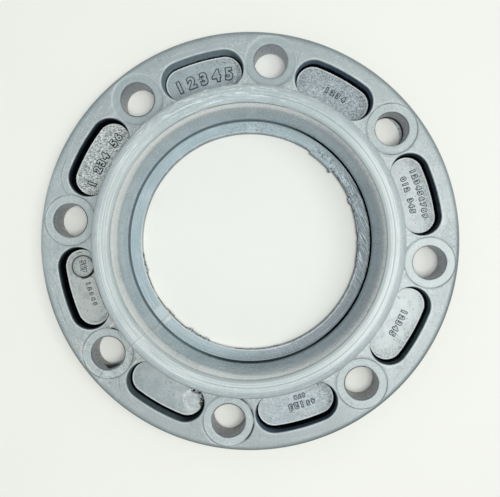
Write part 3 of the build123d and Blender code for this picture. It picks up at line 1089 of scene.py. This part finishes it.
def stop_finish():
    stop = Moulded("pipe_stop", srgb(141, 165, 173), rough=0.34, clouds=0.04, peel=0.01)
    rounds = stop.streaks(40, stop.r, 0.5, 3)
    stop.tone(stop.step(rounds, 0.5, 0.7) * 0.35, (188, 203, 207))
    stop.tone((1 - stop.step(rounds, 0.3, 0.45)) * 0.35, (112, 130, 138))
    # Painted shadow on the right, where the socket wall shades the stop, deepest towards the inner edge.
    stop.tone(stop.sector(-98, 44, 18) * 0.58, (80, 107, 120))
    stop.tone(stop.sector(-78, -14, 12) * 0.34, (76, 106, 120))
    stop.tone((1 - stop.step(stop.r, 76.5, 81)) * stop.sector(-60, 12, 16) * 0.6, (66, 88, 100))
    stop.tone(stop.line(stop.r, 81.2, 1.3) * stop.sector(-60, 8, 12) * 0.3, (190, 206, 213))
    # Painted highlights on the rounded inner edge.
    bright_edge = stop.line(stop.r, 75.7, 0.75)
    stop.tone(bright_edge * stop.sector(-82, -14, 8) * stop.step(stop.noise(4, 2), 0.3, 0.5), (226, 236, 239))
    stop.tone(bright_edge * stop.sector(82, 166, 12) * 0.6, (206, 220, 222))
    stop.tone(stop.step(stop.noise(1.0, 3), 0.56, 0.68) * 0.3, (206, 218, 221))
    stop.tone(stop.sector(75, 105, 10) * (1 - stop.step(stop.noise(1.3, 3), 0.36, 0.46)) * 0.6, (84, 100, 108))
    dark = stop.scratches(120, 14, 0.5, 0.52) + stop.scratches(140, 8, 0.45, 0.58)
    stop.tone(dark * stop.sector(-24, 38, 6) * 0.8, (46, 66, 78), 0.2)
    pale = stop.scratches(112, 16, 0.4, 0.56) + stop.scratches(127, 12, 0.38, 0.58)
    stop.tone(pale * stop.sector(-24, 38, 6) * 0.95, (222, 234, 238))
    stop.tone(pale * stop.sector(180, 300, 20) * 0.25, (206, 217, 218))
    flakes = stop.sector(19, 55, 3) * (1 - stop.step(stop.r, 79, 81.5))
    stop.tone(flakes * stop.step(stop.noise(2.2, 4, distortion=1.5), 0.5, 0.58) * 0.45, (208, 221, 224))
    stop.tone(flakes * stop.veins(4.0, 0.04, 1.3) * 0.9, (56, 70, 78), 0.3)
    stop.tone(stop.sector(215.5, 224, 0.8) * 0.4, (208, 218, 217))
    # A painted highlight next to the corner on the left, where the light reaches it.
    stop.tone(stop.line(stop.r, 82.8, 0.6) * stop.sector(125, 305, 18) * 0.4, (214, 226, 228))
    stop.weld_line(0.5, 0.4)
    return stop.done()


def way_finish():
    way = Moulded("water_way", srgb(96, 110, 116), rough=0.4, clouds=0.08)
    # Painted light on the top and left, and painted shade on the right.
    way.tone(way.sector(62, 170, 10) * 0.4, (146, 160, 165))
    way.tone(way.sector(-14, 58, 6) * 0.7, (40, 52, 60))
    way.tone(way.sector(168, 286, 12) * 0.8, (206, 214, 211))
    way.tone(way.step(way.z, 6.4, 7.0) * way.step(way.noise(3, 3), 0.45, 0.6) * 0.5, (176, 190, 194))
    return way.done()


STAIN_X, STAIN_Y = [BOLT_CIRCLE_R * f(4.5 * STEP) + HOLE_R * f(math.radians(-103)) for f in (math.cos, math.sin)]


def hole_finish():
    hole = Moulded("hole_wall", srgb(130, 143, 156), rough=0.34, clouds=0.06)
    # Painted light in the holes at the top of the disc, and painted shade low on the walls of the holes on the left and
    # at the bottom.
    hole.tone(hole.sector(70, 108, 8) * 0.5, (190, 202, 212))
    hole.tone(hole.sector(160, 322, 10) * (1 - hole.step(hole.z, 17, 27)) * 0.65, (84, 90, 93))
    up = hole.node("ShaderNodeCombineXYZ", {}, {0: hole.x / 0.8, 1: hole.y / 0.8, 2: hole.z / 14})
    drag = hole.node("ShaderNodeTexNoise", {}, {"Vector": up, "Scale": 1.0, "Detail": 3.0})
    hole.tone(hole.step(drag, 0.52, 0.7) * 0.5, (190, 198, 204))
    hole.tone((1 - hole.step(drag, 0.32, 0.46)) * 0.5, (78, 84, 90))
    hole.tone(hole.step(hole.z, 29.8, 31.0) * 0.5, (80, 88, 92))
    # Painted shade at the foot of the wall where it meets the table, and painted black shade low in one hole, above its
    # flash.
    hole.tone((1 - hole.step(hole.z, 0.6, 2.4)) * 0.5, (22, 24, 28))
    hole.tone((1 - hole.step(hole.z, 6.5, 9.5)) * hole.sector(25, 55, 4), (4, 6, 10), 0.6)
    x, y = hole.x - STAIN_X, hole.y - STAIN_Y
    from_stain = hole.math("SQRT", x * x + y * y) + (hole.noise(3, 3) - 0.5) * 5
    from_stain = from_stain + hole.math("ABSOLUTE", hole.z - 14) * 0.5
    hole.tone((1 - hole.step(from_stain, 5.0, 7.5)) * 0.95, (8, 10, 12), 0.5)
    return hole.done()


def sealing_finish():
    face = Moulded("sealing_face", GREY, rough=0.45, clouds=0.05, peel=0.03)
    lines = face.streaks(50, face.r, 0.6, 3)
    face.tone(face.step(lines, 0.5, 0.7) * 0.3, (196, 208, 208))
    return face.done()


finishes = {
    "back face": disc_finish, "washer seat": seat_finish, "pocket wall": pocket_wall_finish,
    "pocket floor": pocket_floor_finish, "hub side": shoulder_finish, "hub end": hub_end_finish,
    "socket wall": socket_finish, "stop corner": corner_finish, "pipe stop": stop_finish, "water way": way_finish,
    "hole wall": hole_finish, "sealing face": sealing_finish,
}
materials = [finishes[surface]() for surface in SURFACES]
print("finishes:", [m.name for m in materials])

# %% [markdown]
# ## The moulding takes its finishes
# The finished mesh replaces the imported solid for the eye. The solid stays behind it for the physics.

# %% Make the moulding
def settle(piece):
    """Every piece here is part of the one moulding."""
    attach(piece, "root")
    return piece


moulding = settle(skin.make("flange_moulding", materials))
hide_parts("flange")
coarse = moulding.data.attributes.new("coarse", "FLOAT", "POINT")
for i, value in coarse_points:
    coarse.data[i].value = value
triangles = sum(len(f.vertices) - 2 for f in moulding.data.polygons)
print("triangles in the moulding:", triangles)

# %% [markdown]
# ## Raised numbers on the pocket floors
# Moulders cut numbers into the mould, so they stand up from the floor of a pocket. Blender's text objects give
# proper letter shapes with a bevel, which is what the taper of such a cut looks like. Here the pockets simply
# carry the counting numbers, as on a dial. The pocket on the left has a round date insert, with its number in
# the middle of twelve dots for the months, beside the thin outline of a second insert. The pocket below it is
# blank, with the torn ring that a plug of the mould left in its floor.

# %% Set raised numbers
def floor_spot(along, across, pocket, height=0.0):
    """Where a drawing lies on a pocket's floor, in millimetres, with its top towards the rim."""
    angle = pocket * STEP + along / POCKET_LINE_R
    out = Vector((math.cos(angle), math.sin(angle), 0))
    right = Vector((out.y, -out.x, 0))
    spot = Matrix((right, out, Vector((0, 0, 1)))).transposed().to_4x4()
    spot.translation = out * (POCKET_LINE_R + across) + Vector((0, 0, DISC_T - POCKET_DEPTH + height))
    return spot


def raise_text(skin, words, size, spot, stands=0.55, slope=0.28):
    """Adds raised words to a skin. Their sides lean out by slope."""
    data = bpy.data.curves.new("numbers", "FONT")
    data.body, data.size, data.align_x, data.align_y = words, size, "CENTER", "CENTER"
    data.space_character, data.offset = 1.1, 0.025 * size
    data.extrude, data.bevel_depth, data.bevel_resolution, data.resolution_u = stands, slope, 0, 4
    shape = bpy.data.objects.new("numbers", data)
    mesh = bpy.data.meshes.new_from_object(shape)
    known = skin.add(spot @ v.co for v in mesh.vertices)
    for polygon in mesh.polygons:
        skin.faces.append(tuple(known[i] for i in polygon.vertices))
        skin.finishes.append(0)
    for data_block, store in ((shape, bpy.data.objects), (mesh, bpy.data.meshes), (data, bpy.data.curves)):
        store.remove(data_block)


FACING_HUB = 4


def raise_row(skin, pocket, words, size, across, spacing, middle=0.0):
    """A row of numbers that bends along the pocket, one drawing for each, so that each stands square to the rim."""
    for i, word in enumerate(words):
        if word == " ":
            continue
        along = middle - (i - (len(words) - 1) / 2) * spacing
        spot = floor_spot(along, across, pocket, 0.8 * FLOORS[pocket][1])
        if pocket == FACING_HUB:
            spot = spot @ Matrix.Rotation(math.pi, 4, "Z")
        raise_text(skin, word, size, spot @ Matrix.Diagonal((1, 1, 0.75, 1)), 0.15, min(0.7, 0.035 * size + 0.36))


number_skin = Skin()
ROWS = (
    (0, "123456789", 4.6, 4.4, 3.8, 0), (0, "012 345", 4.6, -3.4, 3.9, 1), (1, "1234", 4.6, -0.5, 4.3, -2),
    (2, "12345", 10.6, -1.2, 8.8, 0), (3, "1 234 56", 7.2, -1.4, 5.3, 0), (6, "123", 5.2, 0.5, 4.0, 0),
    (6, "45", 4.0, 1.0, 3.6, 10), (6, "678", 3.4, -5.0, 3.0, 4), (7, "12345", 5.2, -0.5, 4.2, 1),
    (4, "54321", 3.0, -1.5, 3.7, 5),
)
for pocket, words, size, across, spacing, middle in ROWS:
    raise_row(number_skin, pocket, words, size, across, spacing, middle)


def number_finish():
    raised = Moulded("raised_numbers", srgb(164, 178, 181), rough=0.34, clouds=0.05, peel=0.01)
    pocket_tones(raised)
    # The sloping sides of the numbers are painted dark, as painted shade.
    level = raised.node("ShaderNodeNewGeometry", {}, {}, "Normal")
    upright = raised.node("ShaderNodeSeparateXYZ", {}, {0: level}, 2)
    bold = 0.86 + 0.14 * raised.sector(134, 168, 2)
    raised.tone((1 - raised.step(upright, 0.85, 0.96)) * bold, (26, 36, 41), 0.3)
    return raised.done(**{"Specular IOR Level": 0.25})


number_material = number_finish()
numbers = settle(number_skin.make("pocket_numbers", [number_material]))
numbers.data.shade_flat()
print("faces on the numbers:", len(numbers.data.polygons))

# %% Set the date insert
insert = Skin()
profile = ((6.95, -0.6), (6.95, 0.1), (6.8, 0.25), (6.2, 0.27), (6.0, 0.12), (0.6, 0.12))
rings = [insert.add(ring(r, z + DISC_T - POCKET_DEPTH, 64, (INSERT_X, INSERT_Y))) for r, z in profile]
for low, high in zip(rings, rings[1:]):
    insert.join(low, high, 0)
insert.faces += [tuple(rings[-1]), tuple(reversed(rings[0]))]
insert.finishes += [0, 0]
INSERT_ALONG, INSERT_ACROSS = -14.75, -0.35
insert_spot = floor_spot(INSERT_ALONG, INSERT_ACROSS, 4, 0.05)
raise_text(insert, "567", 4.9, insert_spot @ Matrix.Rotation(math.pi, 4, "Z"), 0.12, 0.4)
for month in range(12):
    turned = insert_spot @ Matrix.Rotation(month * math.tau / 12, 4, "Z")
    raise_text(insert, ".", 5.0, turned @ Matrix.Translation((0, 6.2, 0)), 0.12, 0.1)


def ridge(skin, path, pocket, width, height):
    """A low ridge along points of a pocket's floor, such as the outline of an insert."""
    places = [floor_spot(along, across, pocket).translation for along, across in path]
    loops = []
    for i, place in enumerate(places):
        way = (places[min(i + 1, len(places) - 1)] - places[max(i - 1, 0)]).normalized()
        side = way.cross(Vector((0, 0, 1)))
        section = ((-width, -0.3), (-width * 0.4, height), (width * 0.4, height), (width, -0.3))
        loops.append(skin.add(place + side * x + Vector((0, 0, z)) for x, z in section))
    for low, high in zip(loops, loops[1:]):
        skin.join(low, high, 1, turned=True)
    skin.faces += [tuple(reversed(loops[-1])), tuple(loops[0])]
    skin.finishes += [1, 1]


def around_end(radius, start, end):
    """Points along the round end of a pocket, by angle from its lengthwise direction."""
    turns = [math.radians(start + (end - start) * i / 12) for i in range(13)]
    end_along = POCKET_HALF_ANGLE * POCKET_LINE_R
    return [(end_along + radius * math.cos(t), radius * math.sin(t)) for t in turns]


second_top = [(-4.4 - 3.0 * math.cos(t), -2.0 + 4.6 * math.sin(t)) for t in np.linspace(-1.5, 1.0, 12)]
ridge(insert, [(19.0, -6.9), (13.0, -7.0), (7.0, -7.0), (1.0, -6.9), *second_top], 4, 0.3, 0.14)
ridge(insert, around_end(9.2, -50, 30), 4, 0.32, 0.16)
ridge(insert, around_end(8.0, -40, 5), 4, 0.28, 0.14)
ridge(insert, [(-24.6, -0.6), (-24.4, 1.6), (-23.9, 3.2)], 4, 0.4, 0.18)
line_material = Moulded("insert_outline", srgb(66, 76, 78), rough=0.5).done()
date_insert = settle(insert.make("date_insert", [number_material, line_material]))
date_insert.data.shade_flat()
print("faces on the date insert:", len(date_insert.data.polygons))

# %% [markdown]
# ## The torn gate
# The plastic came in through a thin disc across the water way, which was cut and torn out afterwards. It left a
# ragged edge: a short block, a long row of flakes, and some hairs of plastic. Each is a strip that follows the
# edge of the stop, with an inner edge made ragged by random numbers that are seeded, so that it never changes.

# %% Tear the gate
rng = random.Random(41)


def strip(skin, sections):
    """A closed strip through sections with as many points."""
    loops = [skin.add(section) for section in sections]
    for low, high in zip(loops, loops[1:]):
        skin.join(low, high, 0)
    skin.faces += [tuple(loops[-1]), tuple(reversed(loops[0]))]
    skin.finishes += [0, 0]


def ragged(length, roughness):
    """A ragged run of numbers about 1: small teeth, and a long one here and there."""
    values, level = [], 1.0
    for _ in range(length):
        level += rng.uniform(-0.25, 0.25) * roughness + (1.0 - level) * 0.2
        tooth = rng.uniform(0.3, 1.2) if rng.random() < 0.16 * roughness else 0.0
        values.append(max(0.1, level + rng.uniform(-0.5, 0.5) * roughness + tooth))
    return values


def torn_edge(skin, start, end, stands_in, thickness, roughness):
    """A torn stretch of the gate, between two angles of the photograph."""
    count = max(8, int((end - start) * 3.5))
    depths = ragged(count + 1, roughness)
    sections = []
    for i, depth in enumerate(depths):
        angle = math.radians(start + (end - start) * i / count - PHOTO_ANGLE)
        fade = min(1.0, (i + 0.6) / 2, (count - i + 0.3) / 2)
        inner = WAY_R - stands_in * depth * fade - 0.02
        top = STOP_Z - 0.05 - rng.uniform(0, 0.12)
        low = top - max(0.8, thickness * (0.6 + 0.4 * depth))
        lip = min(inner + 0.42, WAY_R + 0.08)
        section = [(WAY_R + 0.5, top - 0.1), (WAY_R + 0.1, top), (lip, top - 0.03), (inner, top - 0.6)]
        section += [(inner + 0.2, low), (WAY_R + 0.5, low)]
        if roughness < 0.1:
            section[:2] = [(WAY_R + 1.3, STOP_Z - 0.03), (WAY_R + 1.0, STOP_Z + 0.02), (WAY_R + 0.1, STOP_Z + 0.02)]
        sections.append([(r * math.cos(angle), r * math.sin(angle), z) for r, z in section])
    strip(skin, sections)


gate = Skin()
STRETCHES = (
    (42.2, 56.5, 1.65, 2.6, 0.08), (40.4, 42.8, 2.3, 0.9, 0.4), (24, 41.2, 0.5, 1.0, 0.3), (19.8, 24.0, 1.7, 1.0, 0.7), (3, 20, 0.75, 0.9, 0.6),
    (-12, 3, 0.6, 0.6, 0.6), (186, 191, 0.6, 0.5, 1.0), (190, 197.5, 0.8, 0.5, 1.2), (197.5, 206, 0.3, 0.5, 1.0),
    (211, 220, 0.4, 0.5, 0.4), (219, 225.5, 1.2, 0.8, 0.25), (225, 234.5, 0.6, 0.6, 0.4), (234, 240.5, 1.2, 0.6, 0.8),
    (240, 248, 0.9, 0.5, 0.5), (262, 286, 0.3, 0.4, 1.0),
)
for stretch in STRETCHES:
    torn_edge(gate, *stretch)
print("faces on the torn gate:", len(gate.faces))


# %% Add the hairs
def hair(skin, seen, length, thickness):
    """A curled hair of plastic that hangs from the edge of the stop."""
    angle = math.radians(seen - PHOTO_ANGLE)
    place = Vector((math.cos(angle), math.sin(angle), 0)) * WAY_R + Vector((0, 0, STOP_Z - 0.2))
    way = Matrix.Rotation(rng.uniform(-0.9, 0.9), 3, "Z") @ -Vector((math.cos(angle), math.sin(angle), 0))
    bend = Matrix.Rotation(rng.uniform(-0.5, 0.5), 3, "Z")
    steps = 7
    sections = []
    place = place - way * 0.5
    for i in range(steps):
        side = way.cross(Vector((0, 0, 1))).normalized()
        radius = thickness * (1 - 0.8 * i / (steps - 1)) / 2
        up = side.cross(way).normalized()
        sections.append([
            place + side * radius * math.cos(t) + up * radius * math.sin(t)
            for t in (math.tau * k / 6 for k in range(6))
        ])
        place = place + way * length / steps
        way = (bend @ way + Vector((0, 0, rng.uniform(-0.2, 0.1)))).normalized()
    strip(skin, sections)


for seen, length, thickness in ((190, 1.0, 0.4), (193, 1.6, 0.4), (194.5, 2.4, 0.45), (196, 3.0, 0.4), (197, 1.8, 0.5),
                                (199.5, 1.4, 0.35), (202, 1.2, 0.35), (206, 1.4, 0.3), (236.5, 1.8, 0.5),
                                (238, 3.4, 0.4), (239, 2.0, 0.5), (241, 1.4, 0.35), (22, 1.6, 0.5), (23, 1.2, 0.5),
                                (12, 1.3, 0.35), (4, 1.2, 0.3), (186, 1.1, 0.3), (222, 1.3, 0.3)):
    hair(gate, seen, length, thickness)


def gate_finish():
    torn = Moulded("torn_edge", srgb(158, 176, 182), rough=0.4, clouds=0.1, peel=0.05)
    level = torn.node("ShaderNodeNewGeometry", {}, {}, "Normal")
    upright = torn.node("ShaderNodeSeparateXYZ", {}, {0: level}, 2)
    torn.tone(torn.step(torn.noise(1.6, 3), 0.5, 0.6) * 0.4, (206, 218, 221))
    bits = 1 - torn.sector(43.4, 58, 1) * 0.8
    torn.tone(torn.step(torn.noise(1.3, 3), 0.5, 0.58) * bits * 0.8, (34, 42, 48))
    torn.tone(torn.sector(43.4, 58, 1) * torn.step(torn.r, 74.0, 74.8) * 0.5, (141, 162, 170))
    torn.tone(torn.sector(220, 226, 1) * 0.35, (150, 132, 112))
    # Painted shade on the steep sides of the torn strips and hairs.
    torn.tone((1 - torn.step(upright, 0.6, 0.9)) * 0.9, (26, 34, 40), 0.4)
    return torn.done()


def flash_finish():
    flash = Moulded("flash", srgb(186, 200, 208), rough=0.3, clouds=0.15, peel=0.04)
    flash.tone(flash.step(flash.noise(1.2, 3), 0.52, 0.62) * 0.5, (86, 98, 106))
    return flash.done()


torn_material = gate_finish()
torn_gate = settle(gate.make("torn_gate", [torn_material]))
print("faces on the torn gate and its hairs:", len(torn_gate.data.polygons))


# %% [markdown]
# ## Flash in the bolt holes
# Where the two halves of the mould met at the foot of a bolt hole, a little plastic squeezed out. It's a thin
# crescent that covers part of the hole, and in the photograph it shows as a bright sliver with a dark edge.

# %% Squeeze out the flash
def flash(skin, bolt, seen, half, stands_in, z):
    """A crescent of flash at a bolt hole, about an angle of the photograph."""
    angle = (bolt + 0.5) * STEP
    centre = Vector((BOLT_CIRCLE_R * math.cos(angle), BOLT_CIRCLE_R * math.sin(angle), z))
    sections = []
    for i in range(25):
        t = -1 + i / 12
        turn_to = math.radians(seen - PHOTO_ANGLE + t * half)
        inner = HOLE_R - stands_in * (1 - t * t) * rng.uniform(0.8, 1.1) - 0.02
        out = Vector((math.cos(turn_to), math.sin(turn_to), 0))
        lift = Vector((0, 0, rng.uniform(-0.05, 0.05)))
        section = ((HOLE_R + 0.4, 0.2), (inner, 0.12), (inner, -0.08), (HOLE_R + 0.4, -0.2))
        sections.append([centre + out * r + Vector((0, 0, h)) + lift * (r < HOLE_R) for r, h in section])
    strip(skin, sections)


flash_skin = Skin()
for crescent in ((0, 24, 62, 2.1, 1.0), (2, 45, 34, 0.7, 1.2), (4, 292, 44, 1.1, 1.2), (5, 320, 40, 0.4, 1.0)):
    flash(flash_skin, *crescent)
hole_flash = settle(flash_skin.make("hole_flash", [flash_finish()]))
print("faces on the flash:", len(hole_flash.data.polygons))
